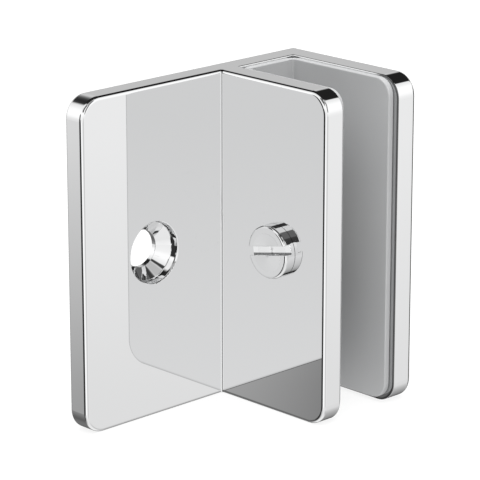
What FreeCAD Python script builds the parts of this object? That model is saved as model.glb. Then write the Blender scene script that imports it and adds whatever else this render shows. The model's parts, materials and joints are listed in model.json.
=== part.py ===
import FreeCAD, Part
import math
import os

os.makedirs("parts", exist_ok=True)

# Frame: the origin is on the wall face, at mid-height, in the middle plane of the glass.
# +Y points into the wall, -Y into the room, +X away from the wall flange, +Z up. All sizes are in millimetres.

# Bracket body
height = 55.0
wall_plate_thickness = 4.1
near_leg_thickness = 3.75
far_leg_thickness = 4.1
leg_reach = 27.7              # wall face to the tips of both legs
flange_reach = 29.7           # outer face of the near leg to the free end of the wall plate
free_corner_radius = 3.6      # corners of the flange end and of the leg tips
outer_edge_round = 0.64
slot_edge_round = 0.2
flange_corner_round = 0.15    # inside corner between the flange and the near leg
slot_corner_round = 0.3       # inside corners at the bottom of the slot

# Glass and the liner around it
glass_thickness = 10.0
glass_play = 0.3
liner_thickness = 1.15
liner_tip_inset = 1.0         # liner's end to the leg tips
liner_top_inset = 0.3         # liner's upper edge to the top of the body
liner_bottom_inset = 0.7      # liner's lower edge to the bottom of the body
liner_fold_round = 0.35       # inside of the two folds
liner_fold_relief = 2.2       # outside of the two folds
liner_edge_round = 0.2

# Wall screw hole, on the middle of the flange
wall_hole_diameter = 6.2
wall_counterbore_diameter = 10.2
wall_counterbore_depth = 1.35
wall_counterbore_draft = 10.0  # degrees, narrowing towards the wall
wall_cone_angle = 86.0
wall_rim_round = 0.25
wall_foot_round = 0.3         # between the counterbore's wall and the cone
wall_throat_round = 0.1       # between the cone and the through hole

# Clamp screw
clamp_past_middle = 0.6       # axis past the middle of the liner's depth, towards the leg tips
clamp_thread_diameter = 6.0
clamp_head_diameter = 8.8
clamp_head_height = 1.95
clamp_head_round = 0.55
clamp_slot_width = 1.5
clamp_slot_depth = 1.2
clamp_slot_offset = 0.27      # slot's middle above the screw's axis
clamp_slot_tilt = 12.0        # degrees, rising towards the leg's tip
clamp_slot_edge_round = 0.08
clamp_tip_diameter = 3.4
clamp_bead_diameter = 4.0
clamp_bead_width = 0.7
clamp_tip_length = 1.3

# Pressure pad on the tip of the clamp screw
pad_diameter = 12.0
pad_advance = 0.9             # how far the pad stands past the liner when the screw is home
pad_edge_round = 0.3

# Clearances
running_gap = 0.05            # between turning faces, and on the radius of the thread
pad_side_gap = 0.3            # around the pad, in its recess and in the liner's window

# Places that follow from the sizes
half_height = height / 2
slot_half = glass_thickness / 2 + glass_play / 2 + liner_thickness
liner_face = slot_half - liner_thickness
near_leg_outer = -slot_half - near_leg_thickness
far_leg_outer = slot_half + far_leg_thickness
flange_end = near_leg_outer - flange_reach
wall_plate_front = -wall_plate_thickness
wall_hole_x = (flange_end + near_leg_outer) / 2
counterbore_foot = wall_plate_front + wall_counterbore_depth
counterbore_foot_radius = (
    wall_counterbore_diameter / 2 - wall_counterbore_depth * math.tan(math.radians(wall_counterbore_draft)))
cone_depth = (counterbore_foot_radius - wall_hole_diameter / 2) / math.tan(math.radians(wall_cone_angle / 2))
cone_end = counterbore_foot + cone_depth
pad_back = -slot_half + running_gap
pad_front = -liner_face + pad_advance
pad_window_diameter = pad_diameter + 2 * pad_side_gap
liner_floor = wall_plate_front - liner_thickness
liner_end = -leg_reach + liner_tip_inset
liner_top = half_height - liner_top_inset
liner_bottom = -half_height + liner_bottom_inset
liner_corner_inset = (2 * liner_tip_inset + liner_top_inset + liner_bottom_inset) / 4
clamp_y = (liner_floor + liner_end) / 2 - clamp_past_middle
clamp_axis_point = FreeCAD.Vector(0, clamp_y, 0)
clamp_head_seat = near_leg_outer - running_gap
clamp_head_face = clamp_head_seat - clamp_head_height
clamp_shoulder = pad_back - running_gap
clamp_tip_end = clamp_shoulder + clamp_tip_length

right = FreeCAD.Vector(1, 0, 0)
into_wall = FreeCAD.Vector(0, 1, 0)
up = FreeCAD.Vector(0, 0, 1)

plane_tolerance = 1e-6
sharp_angle = math.radians(10)


def point(x, y, z=0.0):
    return FreeCAD.Vector(x, y, z)


def extruded(corners, low, high):
    # Prism over a closed outline given by its corners in plan
    outline = Part.makePolygon([point(x, y, low) for x, y in corners + corners[:1]])
    return Part.Face(outline).extrude(up * (high - low))


def edges_along(shape, direction, places):
    # Straight edges parallel to a direction that pass through one of the places
    found = []
    for edge in shape.Edges:
        if not isinstance(edge.Curve, Part.Line):
            continue
        if edge.Curve.Direction.cross(direction).Length > plane_tolerance:
            continue
        for place in places:
            offset = edge.Vertexes[0].Point - place
            if offset.cross(direction).Length < plane_tolerance:
                found.append(edge)
    return found


def is_sharp(shape, edge):
    # True where the two faces beside the edge meet at an angle
    middle = edge.valueAt((edge.FirstParameter + edge.LastParameter) / 2)
    normals = []
    for face in shape.ancestorsOfType(edge, Part.Face):
        u, v = face.Surface.parameter(middle)
        normals.append(face.normalAt(u, v))
    return len(normals) == 2 and normals[0].getAngle(normals[1]) > sharp_angle


def in_slot(edge):
    # True for edges on the three faces that bound the glass slot
    box = edge.BoundBox
    between_legs = max(abs(box.XMin), abs(box.XMax)) < slot_half + plane_tolerance
    return between_legs and box.YMax < wall_plate_front + plane_tolerance


def turned(profile, centre, axis):
    # Solid of revolution: a closed profile turned once round an axis
    return Part.Face(profile).revolve(centre, axis, 360)


def cylinder_along_x(diameter, x_from, x_to):
    return Part.makeCylinder(diameter / 2, x_to - x_from, clamp_axis_point + right * x_from, right)


def body_blank():
    # F-shaped section, with the wall plate along X and the two legs towards the room
    section = [
        (flange_end, 0), (far_leg_outer, 0), (far_leg_outer, -leg_reach),
        (slot_half, -leg_reach), (slot_half, wall_plate_front),
        (-slot_half, wall_plate_front), (-slot_half, -leg_reach),
        (near_leg_outer, -leg_reach), (near_leg_outer, wall_plate_front),
        (flange_end, wall_plate_front),
    ]
    return extruded(section, -half_height, half_height)


def round_free_corners(body):
    # Large corner arcs at the flange's end and at both leg tips
    flange_corners = [point(flange_end, 0, z) for z in (-half_height, half_height)]
    tip_corners = [point(0, -leg_reach, z) for z in (-half_height, half_height)]
    corners = edges_along(body, into_wall, flange_corners) + edges_along(body, right, tip_corners)
    return body.makeFillet(free_corner_radius, corners)


def round_inside_corners(body):
    flange_corner = edges_along(body, up, [point(near_leg_outer, wall_plate_front)])
    body = body.makeFillet(flange_corner_round, flange_corner)
    slot_corners = [point(side * slot_half, wall_plate_front) for side in (-1, 1)]
    return body.makeFillet(slot_corner_round, edges_along(body, up, slot_corners))


def soften_edges(body):
    # The outer edges get the larger round, and what is still sharp is the rim of the slot
    outer = [edge for edge in body.Edges if is_sharp(body, edge) and not in_slot(edge)]
    body = body.makeFillet(outer_edge_round, outer)
    rim = [edge for edge in body.Edges if is_sharp(body, edge)]
    return body.makeFillet(slot_edge_round, rim)


def wall_hole_cutter():
    # Counterbore with a drafted wall, cone and through hole, turned round the hole's axis
    profile = Part.makePolygon([
        point(wall_hole_x, wall_plate_front),
        point(wall_hole_x + wall_counterbore_diameter / 2, wall_plate_front),
        point(wall_hole_x + counterbore_foot_radius, counterbore_foot),
        point(wall_hole_x + wall_hole_diameter / 2, cone_end),
        point(wall_hole_x + wall_hole_diameter / 2, 0),
        point(wall_hole_x, 0),
        point(wall_hole_x, wall_plate_front),
    ])
    return turned(profile, point(wall_hole_x, 0), into_wall)


def wall_hole_circles(body, y):
    # Circles round the hole's axis at one depth
    found = []
    for edge in body.Edges:
        box = edge.BoundBox
        if max(abs(box.YMin - y), abs(box.YMax - y)) > plane_tolerance:
            continue
        if not isinstance(edge.Curve, Part.Circle):
            continue
        offset = edge.Curve.Center - point(wall_hole_x, y)
        if offset.Length < plane_tolerance:
            found.append(edge)
    return found


def round_wall_hole(body):
    # The rim on the flange's front, the foot of the counterbore and the throat where the through hole starts
    body = body.makeFillet(wall_rim_round, wall_hole_circles(body, wall_plate_front))
    body = body.makeFillet(wall_foot_round, wall_hole_circles(body, counterbore_foot))
    return body.makeFillet(wall_throat_round, wall_hole_circles(body, cone_end))


def clamp_bore_cutter():
    # Thread's bore through the near leg, with the pad's recess on the slot side
    bore = cylinder_along_x(clamp_thread_diameter + 2 * running_gap, near_leg_outer, -slot_half)
    recess = cylinder_along_x(pad_window_diameter, -slot_half - pad_advance, -slot_half)
    return bore.fuse(recess)


def bracket_body():
    body = soften_edges(round_inside_corners(round_free_corners(body_blank())))
    body = round_wall_hole(body.cut(wall_hole_cutter()))
    return body.cut(clamp_bore_cutter())


def liner_blank():
    # U-shaped section that lies on both legs and on the wall plate
    section = [
        (-slot_half, wall_plate_front), (-slot_half, liner_end),
        (-liner_face, liner_end), (-liner_face, liner_floor),
        (liner_face, liner_floor), (liner_face, liner_end),
        (slot_half, liner_end), (slot_half, wall_plate_front),
    ]
    blank = extruded(section, liner_bottom, liner_top)
    corners = edges_along(blank, right, [point(0, liner_end, z) for z in (liner_bottom, liner_top)])
    return blank.makeFillet(free_corner_radius - liner_corner_inset, corners)


def fold_liner(blank):
    inner = [point(side * liner_face, liner_floor) for side in (-1, 1)]
    outer = [point(side * slot_half, wall_plate_front) for side in (-1, 1)]
    folded = blank.makeFillet(liner_fold_round, edges_along(blank, up, inner))
    return folded.makeFillet(liner_fold_relief, edges_along(folded, up, outer))


def glass_liner():
    liner = fold_liner(liner_blank())
    glass_side = []
    for edge in liner.Edges:
        box = edge.BoundBox
        between_faces = max(abs(box.XMin), abs(box.XMax)) < liner_face + plane_tolerance
        if between_faces and is_sharp(liner, edge):
            glass_side.append(edge)
    liner = liner.makeFillet(liner_edge_round, glass_side)
    return liner.cut(cylinder_along_x(pad_window_diameter, -slot_half, -liner_face))


def screw_profile():
    # Half section from the head's face to the tip, with a snap bead on the tip
    head_rim = clamp_y + clamp_head_diameter / 2
    shank_side = clamp_y + clamp_thread_diameter / 2
    tip_side = clamp_y + clamp_tip_diameter / 2
    bead_side = clamp_y + clamp_bead_diameter / 2
    bead_start = clamp_tip_end - clamp_bead_width
    bead_middle = clamp_tip_end - clamp_bead_width / 2
    round_rise = clamp_head_round * (1 - math.sqrt(0.5))
    round_start = point(clamp_head_face, head_rim - clamp_head_round)
    round_middle = point(clamp_head_face + round_rise, head_rim - round_rise)
    round_end = point(clamp_head_face + clamp_head_round, head_rim)
    before_round = Part.makePolygon([point(clamp_head_face, clamp_y), round_start])
    head_round = Part.Arc(round_start, round_middle, round_end).toShape()
    shank = Part.makePolygon([
        round_end, point(clamp_head_seat, head_rim), point(clamp_head_seat, shank_side),
        point(clamp_shoulder, shank_side), point(clamp_shoulder, tip_side), point(bead_start, tip_side),
    ])
    bead = Part.Arc(point(bead_start, tip_side), point(bead_middle, bead_side), point(clamp_tip_end, tip_side))
    closing = Part.makePolygon([
        point(clamp_tip_end, tip_side), point(clamp_tip_end, clamp_y), point(clamp_head_face, clamp_y),
    ])
    return Part.Wire(before_round.Edges + [head_round] + shank.Edges + [bead.toShape()] + closing.Edges)


def on_slot_floor(edge):
    # True for the straight edges where the slot's walls meet its floor
    return isinstance(edge.Curve, Part.Line) and edge.BoundBox.XMin > clamp_head_face + clamp_slot_depth / 2


def clamp_screw():
    screw = turned(screw_profile(), clamp_axis_point, right)
    # The seam of the turned faces points up, clear of the slot at any head size
    screw.rotate(clamp_axis_point, right, 90)
    slot = Part.makeBox(
        clamp_slot_depth, 2 * clamp_head_diameter, clamp_slot_width,
        point(clamp_head_face, clamp_y - clamp_head_diameter, clamp_slot_offset - clamp_slot_width / 2))
    slot.rotate(clamp_axis_point, right, -clamp_slot_tilt)
    slotted = screw.cut(slot)
    rim = []
    for edge in slotted.Edges:
        in_head = edge.BoundBox.XMax < clamp_head_face + clamp_slot_depth + plane_tolerance
        if in_head and is_sharp(slotted, edge) and not on_slot_floor(edge):
            rim.append(edge)
    return slotted.makeFillet(clamp_slot_edge_round, rim)


def pressure_pad():
    # Disc with a snap socket in its back for the screw's tip
    disc = cylinder_along_x(pad_diameter, pad_back, pad_front)
    face_edge = [edge for edge in disc.Edges if edge.BoundBox.XMin > pad_front - plane_tolerance]
    disc = disc.makeFillet(pad_edge_round, face_edge)
    chamber_start = clamp_tip_end - clamp_bead_width - running_gap
    chamber_end = clamp_tip_end + running_gap
    mouth = cylinder_along_x(clamp_tip_diameter + 2 * running_gap, pad_back, chamber_start)
    chamber = cylinder_along_x(clamp_bead_diameter + 2 * running_gap, chamber_start, chamber_end)
    return disc.cut(mouth.fuse(chamber))


pieces = {
    "bracket_body": bracket_body,
    "glass_liner": glass_liner,
    "clamp_screw": clamp_screw,
    "pressure_pad": pressure_pad,
}

for name, make in pieces.items():
    shape = make().removeSplitter()
    shape.exportStep(f"parts/{name}.step")
    print(name, "solids", len(shape.Solids), "valid", shape.isValid(), "volume", round(shape.Volume, 2))
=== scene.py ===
import json
import math
import bpy
import numpy as np
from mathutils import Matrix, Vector


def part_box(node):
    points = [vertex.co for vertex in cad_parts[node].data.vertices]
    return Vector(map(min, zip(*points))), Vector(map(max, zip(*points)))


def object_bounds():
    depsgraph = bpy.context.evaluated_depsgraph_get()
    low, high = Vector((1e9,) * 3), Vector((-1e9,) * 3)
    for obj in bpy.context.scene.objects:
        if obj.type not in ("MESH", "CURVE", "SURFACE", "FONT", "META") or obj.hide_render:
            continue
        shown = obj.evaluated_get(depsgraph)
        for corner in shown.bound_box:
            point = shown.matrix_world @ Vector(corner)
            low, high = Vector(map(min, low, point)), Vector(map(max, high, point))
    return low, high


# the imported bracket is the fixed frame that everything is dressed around
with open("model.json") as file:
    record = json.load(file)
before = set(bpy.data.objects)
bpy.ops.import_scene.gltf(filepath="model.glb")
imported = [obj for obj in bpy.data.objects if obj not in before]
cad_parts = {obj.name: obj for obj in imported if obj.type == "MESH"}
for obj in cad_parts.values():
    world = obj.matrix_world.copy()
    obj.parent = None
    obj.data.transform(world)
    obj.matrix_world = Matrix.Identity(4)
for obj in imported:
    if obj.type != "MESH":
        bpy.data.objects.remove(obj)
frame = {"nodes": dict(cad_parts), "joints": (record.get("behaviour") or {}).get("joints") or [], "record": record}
cadLow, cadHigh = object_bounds()
nodes = frame["nodes"]
print("frame:", len(nodes), "nodes, height", round((cadHigh.z - cadLow.z) * 1000, 2), "mm")


# Helpers for node trees

def addNode(tree, kind, inputs=None, **settings):
    node = tree.nodes.new(kind)
    for key, value in settings.items():
        setattr(node, key, value)
    for key, value in (inputs or {}).items():
        if isinstance(value, bpy.types.NodeSocket):
            tree.links.new(value, node.inputs[key])
        else:
            node.inputs[key].default_value = value
    return node


def newMaterial(name):
    material = bpy.data.materials.new(name)
    material.use_nodes = True
    material.node_tree.nodes.clear()
    return material, material.node_tree


def paint(node, material):
    for slot in node.material_slots:
        slot.material = material


# Camera: the photograph's own view, from the room side and a little above

view = dict(
    eye=(-0.303534, -0.311375, 0.125665),
    turn=45.9145,       # degrees from +X towards +Y
    drop=16.595,        # degrees below the horizon
    lens=203.293,
    sensor=36.0,
    near=0.01,
    far=20,
)


def makeCamera():
    turn, drop = math.radians(view["turn"]), math.radians(view["drop"])
    ahead = Vector((math.cos(turn) * math.cos(drop), math.sin(turn) * math.cos(drop), -math.sin(drop)))
    data = bpy.data.cameras.new("photoCamera")
    data.lens, data.sensor_width = view["lens"], view["sensor"]
    data.clip_start, data.clip_end = view["near"], view["far"]
    camera = bpy.data.objects.new("photoCamera", data)
    camera.location = view["eye"]
    camera.rotation_mode = "QUATERNION"
    camera.rotation_quaternion = ahead.to_track_quat("-Z", "Y")
    bpy.context.scene.collection.objects.link(camera)
    bpy.context.scene.camera = camera


# Studio: a white backdrop, and the room of pale walls, grey floor and dark ceiling that the chrome mirrors

# Levels go by the height of the direction, from -1, straight down, to 1, straight up. The mirrored walls
# have one list for each of four directions in plan, and the ceiling and the soft discs are laid over them.
studio = dict(
    backdrop=1.0,
    brightness=1.284,
    walls=[
        dict(toward=(1, 1), levels=[
            (-0.95, 0.9), (-0.8, 0.25), (-0.6, 0.12), (-0.3, 0.12), (-0.1, 0.3), (0.1, 0.52),
            (0.22, 0.5), (0.34, 0.57)]),
        dict(toward=(1, -1), levels=[
            (-0.95, 0.9), (-0.73, 0.48), (-0.53, 0.74), (-0.34, 0.77), (-0.25, 0.87), (-0.12, 0.9),
            (0.0, 1.02), (0.15, 1.08), (0.45, 1.08), (0.62, 0.9)]),
        dict(toward=(-1, -1), levels=[
            (-0.95, 0.85), (-0.6, 0.84), (-0.34, 0.98), (-0.24, 0.89), (0.1, 0.95), (0.25, 1.06),
            (0.45, 1.05), (0.7, 0.85)]),
        dict(toward=(-1, 1), levels=[
            (-0.95, 0.9), (-0.8, 0.2), (-0.65, 0.1), (-0.5, 0.18), (-0.36, 0.32), (-0.335, 0.38),
            (-0.3, 0.52), (-0.247, 0.72), (-0.13, 0.79), (0.0, 1.01), (0.15, 1.1), (0.45, 1.06),
            (0.6, 0.9)]),
    ],
    # dark above this height, between edges that lean this far to the left (X), front and back (Y) per rise
    ceiling=dict(
        level=0.015, above=(0.3, 0.4), leastRise=0.1,
        left=(-0.5, -0.22), front=(-0.5, -0.42), back=(1.65, 1.05)),
    # direction of the disc's middle, degrees from it where the disc is full and where it is gone, level
    discs=[
        dict(toward=(-0.865, 0.403, -0.3), full=13.5, gone=21, level=0.03),
        dict(toward=(-0.9, 0.42, 0.06), full=12, gone=17, level=0.03),
        dict(toward=(-0.742, 0.346, -0.574), full=10, gone=16, level=0.03),
        dict(toward=(-0.87, -0.38, -0.28), full=6, gone=15, level=1.12),
        dict(toward=(-0.96, 0.085, -0.255), full=12, gone=16, level=0.04),
        dict(toward=(-0.215, -0.932, -0.292), full=4, gone=20, level=0.6),
        dict(toward=(0.96, -0.13, -0.242), full=18, gone=30, level=0.08),
        dict(toward=(0.795, 0.557, -0.242), full=16, gone=27, level=0.08),
        dict(toward=(-0.667, -0.57, 0.49), full=4, gone=6.5, level=0.05),
        dict(toward=(-0.68, -0.42, 0.6), full=9, gone=12, level=0.05),
        dict(toward=(-0.3, -0.6, 0.74), full=3, gone=7, level=0.05),
        dict(toward=(0.05, -0.5, 0.865), full=10, gone=20, level=0.5),
        dict(toward=(0.45, -0.36, 0.82), full=7, gone=11, level=0.16),
        dict(toward=(0.14, -0.77, 0.62), full=13, gone=16, level=0.16),
        dict(toward=(-0.56, -0.36, 0.76), full=14, gone=17, level=0.06),
        dict(toward=(-0.72, -0.19, 0.66), full=11, gone=14, level=0.16),
        dict(toward=(-0.05, -0.95, 0.3), full=12, gone=16, level=0.16),
    ],
    # what the matt surfaces receive, by height, and how much stronger it is from the camera's side
    softLight=dict(
        levels=[(-0.2, 0.2), (0.2, 0.25), (0.6, 0.8), (1.0, 4.0)], toward=(-0.7, -0.7, 0.0), sided=0.6),
)


def eased(tree, value, start, end):
    # 0 before the start and 1 past the end, with a smooth step between; a falling step has its end first
    step = addNode(
        tree, "ShaderNodeMapRange", {0: value, 1: start, 2: end}, interpolation_type="SMOOTHSTEP")
    return step.outputs[0]


def mathOf(tree, operation, first, second):
    return addNode(tree, "ShaderNodeMath", {0: first, 1: second}, operation=operation).outputs[0]


def facingShare(tree, direction, toward):
    # cosine of the angle between the two directions, or the distance along the second one
    product = addNode(
        tree, "ShaderNodeVectorMath", {0: direction, 1: toward.normalized()}, operation="DOT_PRODUCT")
    return product.outputs["Value"]


def levelByHeight(tree, height, levels):
    # straight lines between the listed levels; a ramp's stops run from 0 to 1, the heights from -1 to 1
    share = addNode(tree, "ShaderNodeMapRange", {0: height, 1: -1.0, 2: 1.0}).outputs[0]
    ramp = addNode(tree, "ShaderNodeValToRGB", {0: share})
    stops = ramp.color_ramp.elements
    for place, level in levels[2:]:
        stops.new((place + 1) / 2)
    for stop, (place, level) in zip(stops, levels):
        stop.position = (place + 1) / 2
        stop.color = (level, level, level, 1)
    return ramp.outputs[0]


def roomWall(tree, plan, height, wall):
    # level by height, weighted by the squared cosine of the angle in plan; the four weights add up to one
    front = mathOf(tree, "MAXIMUM", facingShare(tree, plan, Vector(wall["toward"] + (0,))), 0.0)
    level = levelByHeight(tree, height, wall["levels"])
    return mathOf(tree, "MULTIPLY", level, mathOf(tree, "MULTIPLY", front, front))


def roomLevel(tree, direction):
    # sum of the four walls, with each disc and then the ceiling mixed over it by its mask
    parts = addNode(tree, "ShaderNodeSeparateXYZ", {0: direction}).outputs
    flat = addNode(tree, "ShaderNodeVectorMath", {0: direction, 1: (1, 1, 0)}, operation="MULTIPLY")
    plan = addNode(tree, "ShaderNodeVectorMath", {0: flat.outputs[0]}, operation="NORMALIZE").outputs[0]
    room = None
    for wall in studio["walls"]:
        part = roomWall(tree, plan, parts["Z"], wall)
        room = part if room is None else mathOf(tree, "ADD", room, part)
    for disc in studio["discs"]:
        near = facingShare(tree, direction, Vector(disc["toward"]))
        gone, full = (math.cos(math.radians(disc[edge])) for edge in ("gone", "full"))
        mask = eased(tree, near, gone, full)
        room = addNode(tree, "ShaderNodeMix", {0: mask, 2: room, 3: disc["level"]}).outputs[0]
    ceiling = studio["ceiling"]
    rise = mathOf(tree, "MAXIMUM", parts["Z"], ceiling["leastRise"])
    mask = eased(tree, parts["Z"], *ceiling["above"])
    for part, edge in (("X", "left"), ("Y", "front"), ("Y", "back")):
        inside = eased(tree, mathOf(tree, "DIVIDE", parts[part], rise), *ceiling[edge])
        mask = mathOf(tree, "MULTIPLY", mask, inside)
    room = addNode(tree, "ShaderNodeMix", {0: mask, 2: room, 3: ceiling["level"]}).outputs[0]
    return mathOf(tree, "MULTIPLY", room, studio["brightness"])


def makeStudio():
    world = bpy.data.worlds.new("studio")
    bpy.context.scene.world = world
    world.use_nodes = True
    tree = world.node_tree
    tree.nodes.clear()
    direction = addNode(tree, "ShaderNodeTexCoord").outputs["Generated"]
    soft = studio["softLight"]
    height = addNode(tree, "ShaderNodeSeparateXYZ", {0: direction}).outputs["Z"]
    side = facingShare(tree, direction, Vector(soft["toward"]))
    weight = mathOf(tree, "ADD", mathOf(tree, "MULTIPLY", side, soft["sided"]), 1.0)
    glow = mathOf(tree, "MULTIPLY", levelByHeight(tree, height, soft["levels"]), weight)
    path = addNode(tree, "ShaderNodeLightPath").outputs
    lit = addNode(tree, "ShaderNodeMix", {
        0: path["Is Glossy Ray"], 2: glow, 3: roomLevel(tree, direction)})
    seen = mathOf(tree, "MAXIMUM", path["Is Camera Ray"], path["Is Transmission Ray"])
    shown = addNode(tree, "ShaderNodeMix", {0: seen, 2: lit.outputs[0], 3: studio["backdrop"]})
    back = addNode(tree, "ShaderNodeBackground", {0: (1, 1, 1, 1), 1: shown.outputs[0]})
    addNode(tree, "ShaderNodeOutputWorld", {0: back.outputs[0]})


floorLook = dict(size=4.0, colour=0.94, glow=0.82, bounce=1.3)


def makeFloor():
    # one square face at the height of the bracket's lower edges, corners at plus and minus its size
    half = floorLook["size"]
    corners = np.array([(-half, -half), (half, -half), (half, half), (-half, half)])
    points = np.column_stack([corners, np.full(4, cadLow.z)])
    mesh = bpy.data.meshes.new("floor")
    mesh.from_pydata(points.tolist(), [], [(0, 1, 2, 3)])
    floor = bpy.data.objects.new("floor", mesh)
    bpy.context.scene.collection.objects.link(floor)
    material, tree = newMaterial("paleFloor")
    matt = addNode(tree, "ShaderNodeBsdfDiffuse", {"Color": (floorLook["colour"],) * 3 + (1,)})
    path = addNode(tree, "ShaderNodeLightPath").outputs
    strength = addNode(tree, "ShaderNodeMix", {
        0: path["Is Diffuse Ray"], 2: 1.0, 3: floorLook["bounce"]})
    glow = addNode(tree, "ShaderNodeEmission", {
        "Color": (1, 1, 1, 1), "Strength": strength.outputs[0]})
    seen = mathOf(tree, "MAXIMUM", path["Is Camera Ray"], path["Is Diffuse Ray"])
    share = mathOf(tree, "MULTIPLY", seen, floorLook["glow"])
    both = addNode(tree, "ShaderNodeMixShader", {0: share, 1: matt.outputs[0], 2: glow.outputs[0]})
    addNode(tree, "ShaderNodeOutputMaterial", {"Surface": both.outputs[0]})
    mesh.materials.append(material)
    floor.visible_glossy = False


lamps = [
    dict(name="keySoftbox", place=(-0.9, -0.9, 1.1), width=0.9, power=5.0),
]


def makeLamps():
    for lamp in lamps:
        data = bpy.data.lights.new(lamp["name"], "AREA")
        data.shape, data.size, data.energy = "SQUARE", lamp["width"], lamp["power"]
        light = bpy.data.objects.new(lamp["name"], data)
        light.location = lamp["place"]
        light.rotation_mode = "QUATERNION"
        light.rotation_quaternion = (-Vector(lamp["place"])).to_track_quat("-Z", "Y")
        light.visible_glossy = False
        bpy.context.scene.collection.objects.link(light)


# Polished chrome of the body and the screw

# Places and sizes are in metres. A pair is where an eased edge is gone and where it is full.
flangeFront = -0.0041       # Y of the flange's front face
chrome = dict(
    colour=(0.73, 0.732, 0.735), gloss=0.01,
    hazeSpread=0.012, hazeSize=90.0, hazeDetail=6.0, hazeFrom=0.35, hazeTo=0.65)
thread = dict(pitch=0.001, radius=0.0031, depth=0.6)
# the driver slot's colour is a painted highlight on its cut faces, and its line colour is a painted shade in its
# lower corner
driverSlot = dict(
    halfWidth=0.00077, offset=0.00027, tilt=12.0, start=0.00015, depth=0.00125,
    colour=(0.93, 0.932, 0.935), paintedLineSpread=(0.00036, 0.0002), paintedLineColour=(0.22, 0.221, 0.223))
# the rim's strip colour and line colour are a painted darker reflection and a painted dark line on the far leg's
# strip beside the liner
slotRim = dict(
    cornerRadius=0.0036, width=(0.00015, 0.0001), fade=(0.0055, 0.0037), paintedStripColour=(0.56, 0.562, 0.565),
    paintedLineSpread=(0.0005, 0.0002), paintedLineColour=(0.13, 0.13, 0.131))
# the corner line's light colour is a painted highlight and its dark colour a painted dark reflection
cornerLine = dict(
    legThickness=0.00375, alongFlange=0.00028, alongLeg=0.00017,
    light=(0.97, 0.972, 0.975), dark=(0.06, 0.06, 0.061))


def makeChrome(name, look):
    # mirror with a trace of uneven polish: its roughness follows a cloudy noise
    material, tree = newMaterial(name)
    place = addNode(tree, "ShaderNodeTexCoord").outputs["Object"]
    haze = addNode(tree, "ShaderNodeTexNoise", {
        "Vector": place, "Scale": look["hazeSize"], "Detail": look["hazeDetail"]})
    rough = addNode(tree, "ShaderNodeMapRange", {
        0: haze.outputs[0], 1: look["hazeFrom"], 2: look["hazeTo"],
        3: look["gloss"], 4: look["gloss"] + look["hazeSpread"]})
    shader = addNode(tree, "ShaderNodeBsdfPrincipled", {
        "Base Color": look["colour"] + (1,), "Metallic": 1.0, "Roughness": rough.outputs[0]})
    addNode(tree, "ShaderNodeOutputMaterial", {"Surface": shader.outputs[0]})
    return material, shader, place


def cutThread(material, shader, place, axisY):
    # right-hand thread on the shank: height by the distance along X plus the turn about the screw's axis
    tree = material.node_tree
    parts = addNode(tree, "ShaderNodeSeparateXYZ", {0: place}).outputs
    aside = mathOf(tree, "SUBTRACT", parts["Y"], axisY)
    turn = mathOf(tree, "DIVIDE", mathOf(tree, "ARCTAN2", parts["Z"], aside), 2 * math.pi)
    along = mathOf(tree, "DIVIDE", parts["X"], thread["pitch"])
    ridge = mathOf(tree, "PINGPONG", mathOf(tree, "SUBTRACT", along, turn), 0.5)
    across = addNode(tree, "ShaderNodeCombineXYZ", {0: aside, 1: parts["Z"]}).outputs[0]
    radius = addNode(tree, "ShaderNodeVectorMath", {0: across}, operation="LENGTH").outputs["Value"]
    onShank = mathOf(tree, "LESS_THAN", radius, thread["radius"])
    height = mathOf(tree, "MULTIPLY", ridge, onShank)
    bump = addNode(tree, "ShaderNodeBump", {
        "Height": height, "Strength": thread["depth"], "Distance": thread["pitch"]})
    tree.links.new(bump.outputs[0], shader.inputs["Normal"])


def paintSlotHighlightAndShade(material, shader, place, headFace, axisY):
    # painted highlight: the driver slot's cut faces get a brighter colour in place of their light reflections;
    # they lie by height square to the slot, Y * sin(tilt) + Z * cos(tilt), within half its width of its middle,
    # and X between its mouth and its floor
    tree = material.node_tree
    tilt = math.radians(driverSlot["tilt"])
    square = Vector((0, math.sin(tilt), math.cos(tilt)))
    middle = axisY * math.sin(tilt) + driverSlot["offset"]
    parts = addNode(tree, "ShaderNodeSeparateXYZ", {0: place}).outputs
    height = mathOf(tree, "SUBTRACT", facingShare(tree, place, square), middle)
    inside = mathOf(tree, "LESS_THAN", mathOf(tree, "ABSOLUTE", height, 0.0), driverSlot["halfWidth"])
    behind = mathOf(tree, "GREATER_THAN", parts["X"], headFace + driverSlot["start"])
    above = mathOf(tree, "LESS_THAN", parts["X"], headFace + driverSlot["depth"])
    mask = mathOf(tree, "MULTIPLY", inside, mathOf(tree, "MULTIPLY", behind, above))
    bright = addNode(tree, "ShaderNodeMix", {
        0: mask, 6: chrome["colour"] + (1,), 7: driverSlot["colour"] + (1,)}, data_type="RGBA")
    # painted shade: dark line where the slot's floor meets its lower wall, by the distance from that corner
    fromFloor = mathOf(tree, "SUBTRACT", parts["X"], headFace + driverSlot["depth"])
    fromWall = mathOf(tree, "ADD", height, driverSlot["halfWidth"])
    away = addNode(tree, "ShaderNodeCombineXYZ", {0: fromFloor, 1: fromWall}).outputs[0]
    reach = addNode(tree, "ShaderNodeVectorMath", {0: away}, operation="LENGTH").outputs["Value"]
    line = mathOf(tree, "MULTIPLY", mask, eased(tree, reach, *driverSlot["paintedLineSpread"]))
    tone = addNode(tree, "ShaderNodeMix", {
        0: line, 6: bright.outputs[2], 7: driverSlot["paintedLineColour"] + (1,)}, data_type="RGBA")
    tree.links.new(tone.outputs[2], shader.inputs["Base Color"])


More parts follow.
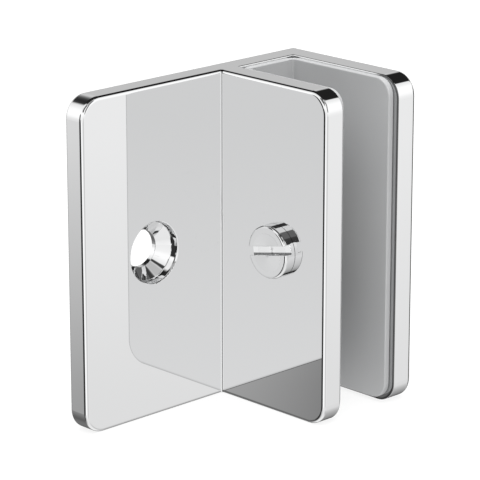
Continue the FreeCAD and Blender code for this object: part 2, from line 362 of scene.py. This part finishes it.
def paintSlotRimReflection(material, place):
    # painted reflection: the strip of the far leg's inner face beside the liner is painted darker, as the
    # reflection of the shaded liner across the slot, with a fine painted dark line along its rim: the line goes by
    # the inset from the tip's outline, which is straight with a round corner above and below
    tree = material.node_tree
    face, tip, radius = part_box("glass_liner")[1].x, cadLow.y, slotRim["cornerRadius"]
    parts = addNode(tree, "ShaderNodeSeparateXYZ", {0: place}).outputs
    fromTip = mathOf(tree, "SUBTRACT", parts["Y"], tip)
    fromFace = mathOf(tree, "SUBTRACT", parts["X"], face)
    height = mathOf(tree, "ABSOLUTE", parts["Z"], 0.0)
    ahead = mathOf(tree, "MAXIMUM", mathOf(tree, "SUBTRACT", radius, fromTip), 0.0)
    past = mathOf(tree, "MAXIMUM", mathOf(tree, "SUBTRACT", height, cadHigh.z - radius), 0.0)
    corner = addNode(tree, "ShaderNodeCombineXYZ", {0: ahead, 1: past}).outputs[0]
    reach = addNode(tree, "ShaderNodeVectorMath", {0: corner}, operation="LENGTH").outputs["Value"]
    line = eased(tree, mathOf(tree, "SUBTRACT", radius, reach), *slotRim["paintedLineSpread"])
    onFace = eased(tree, mathOf(tree, "ABSOLUTE", fromFace, 0.0), *slotRim["width"])
    mask = mathOf(tree, "MULTIPLY", onFace, eased(tree, fromTip, *slotRim["fade"]))
    strip = addNode(tree, "ShaderNodeMix", {
        0: line, 6: slotRim["paintedStripColour"] + (1,), 7: slotRim["paintedLineColour"] + (1,)}, data_type="RGBA")
    tone = addNode(tree, "ShaderNodeMix", {
        0: mask, 6: chrome["colour"] + (1,), 7: strip.outputs[2]}, data_type="RGBA")
    return tone.outputs[2]


def paintCornerReflectionLine(material, place, under):
    # painted highlight and painted dark reflection on the small round in the corner of flange and near leg: light
    # on the flange's side, dark on the leg's
    tree = material.node_tree
    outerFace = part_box("glass_liner")[0].x - cornerLine["legThickness"]
    parts = addNode(tree, "ShaderNodeSeparateXYZ", {0: place}).outputs
    aside = mathOf(tree, "SUBTRACT", outerFace, parts["X"])
    ahead = mathOf(tree, "SUBTRACT", flangeFront, parts["Y"])
    near = [
        mathOf(tree, "LESS_THAN", mathOf(tree, "ABSOLUTE", distance, 0.0), cornerLine[reach])
        for distance, reach in ((aside, "alongFlange"), (ahead, "alongLeg"))]
    mask = mathOf(tree, "MULTIPLY", *near)
    onFlange = mathOf(tree, "GREATER_THAN", aside, ahead)
    line = addNode(tree, "ShaderNodeMix", {
        0: onFlange, 6: cornerLine["dark"] + (1,), 7: cornerLine["light"] + (1,)}, data_type="RGBA")
    tone = addNode(tree, "ShaderNodeMix", {0: mask, 6: under, 7: line.outputs[2]}, data_type="RGBA")
    return tone.outputs[2]


# Mirror cards: like the retouched photograph, the faces don't mirror the hole and the screw's head

# One-sided mirror discs that only reflections see. The head's card is wide enough, and moved far enough
# away from the camera, to cover the head's own mirror image as well.
cards = dict(
    sides=64, gap=0.00002, holeRadius=0.00535,
    headGap=0.001, headShift=(0.0031, 0.0013), headRadius=0.0067,
)


def makeCard(name, centre, radius, facing):
    # flat disc: centre + radius * (cos(turn) * across + sin(turn) * up), both square to its normal
    normal = Vector(facing)
    up = Vector((0, 0, 1))
    across = up.cross(normal)
    turn = np.linspace(0, 2 * np.pi, cards["sides"], endpoint=False)
    rim = np.outer(np.cos(turn), across) + np.outer(np.sin(turn), up)
    points = np.array(centre) + radius * rim
    mesh = bpy.data.meshes.new(name)
    mesh.from_pydata(points.tolist(), [], [tuple(range(cards["sides"]))])
    card = bpy.data.objects.new(name, mesh)
    bpy.context.scene.collection.objects.link(card)
    material, tree = newMaterial(name)
    mirror = addNode(tree, "ShaderNodeBsdfPrincipled", {
        "Base Color": chrome["colour"] + (1,), "Metallic": 1.0, "Roughness": chrome["gloss"]})
    clear = addNode(tree, "ShaderNodeBsdfTransparent")
    back = addNode(tree, "ShaderNodeNewGeometry").outputs["Backfacing"]
    both = addNode(tree, "ShaderNodeMixShader", {0: back, 1: mirror.outputs[0], 2: clear.outputs[0]})
    addNode(tree, "ShaderNodeOutputMaterial", {"Surface": both.outputs[0]})
    mesh.materials.append(material)
    card.visible_camera = card.visible_diffuse = False
    card.visible_shadow = card.visible_transmission = False


def makeCards():
    mounts = {mount["name"]: mount for mount in frame["record"]["mounts"]}
    hole = mounts["wall_screw_hole"]["pos_m"]
    place = (hole[0], flangeFront - cards["gap"], hole[2])
    makeCard("holeCard", place, cards["holeRadius"], (0, -1, 0))
    headLow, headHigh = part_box("clamp_screw")
    middle = (headLow + headHigh) / 2
    along, up = cards["headShift"]
    place = (headLow.x - cards["headGap"], middle.y + along, middle.z + up)
    makeCard("headCard", place, cards["headRadius"], (-1, 0, 0))


bpy.context.scene.view_settings.view_transform = "Standard"
makeCamera()
makeStudio()
makeFloor()
makeLamps()
makeCards()
print("camera, studio, floor and mirror cards made")

bodyChrome, bodyShader, bodyPlace = makeChrome("polishedChrome", chrome)
bodyTone = paintCornerReflectionLine(bodyChrome, bodyPlace, paintSlotRimReflection(bodyChrome, bodyPlace))
bodyChrome.node_tree.links.new(bodyTone, bodyShader.inputs["Base Color"])
screwChrome, screwShader, screwPlace = makeChrome("screwChrome", chrome)
screwJoint = [joint for joint in frame["joints"] if joint["name"] == "screw_turn"][0]
cutThread(screwChrome, screwShader, screwPlace, screwJoint["pos_m"][1])
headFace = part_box("clamp_screw")[0].x
paintSlotHighlightAndShade(screwChrome, screwShader, screwPlace, headFace, screwJoint["pos_m"][1])
paint(nodes["bracket_body"], bodyChrome)
paint(nodes["clamp_screw"], screwChrome)
print("chrome made")


# Soft matt plastics: the grey liner and the off-white pad

liner = dict(
    colour=(0.40, 0.404, 0.408), roughness=0.55, ior=1.45, mottle=0.03, mottleSize=140.0,
    mottleDetail=4.0, grain=0.08, grainSize=2600.0, grainDetail=2.0, grainHeight=0.0001)
padNylon = dict(
    colour=(0.80, 0.79, 0.76), roughness=0.38, ior=1.45, mottle=0.02, mottleSize=200.0,
    mottleDetail=4.0, grain=0.04, grainSize=1800.0, grainDetail=2.0, grainHeight=0.0001)


def makeSoftPlastic(name, look):
    # cloudy colour and a fine moulded grain
    material, tree = newMaterial(name)
    place = addNode(tree, "ShaderNodeTexCoord").outputs["Object"]
    cloud = addNode(tree, "ShaderNodeTexNoise", {
        "Vector": place, "Scale": look["mottleSize"], "Detail": look["mottleDetail"]})
    low = tuple(part * (1 - look["mottle"]) for part in look["colour"]) + (1,)
    high = tuple(part * (1 + look["mottle"]) for part in look["colour"]) + (1,)
    tone = addNode(tree, "ShaderNodeMix", {0: cloud.outputs[0], 6: low, 7: high}, data_type="RGBA")
    grain = addNode(tree, "ShaderNodeTexNoise", {
        "Vector": place, "Scale": look["grainSize"], "Detail": look["grainDetail"]})
    bump = addNode(tree, "ShaderNodeBump", {
        "Height": grain.outputs[0], "Strength": look["grain"], "Distance": look["grainHeight"]})
    shader = addNode(tree, "ShaderNodeBsdfPrincipled", {
        "Base Color": tone.outputs[2], "Roughness": look["roughness"], "IOR": look["ior"],
        "Normal": bump.outputs[0]})
    addNode(tree, "ShaderNodeOutputMaterial", {"Surface": shader.outputs[0]})
    return material


paint(nodes["glass_liner"], makeSoftPlastic("linerRubber", liner))
paint(nodes["pressure_pad"], makeSoftPlastic("padNylon", padNylon))
print("soft plastics made")
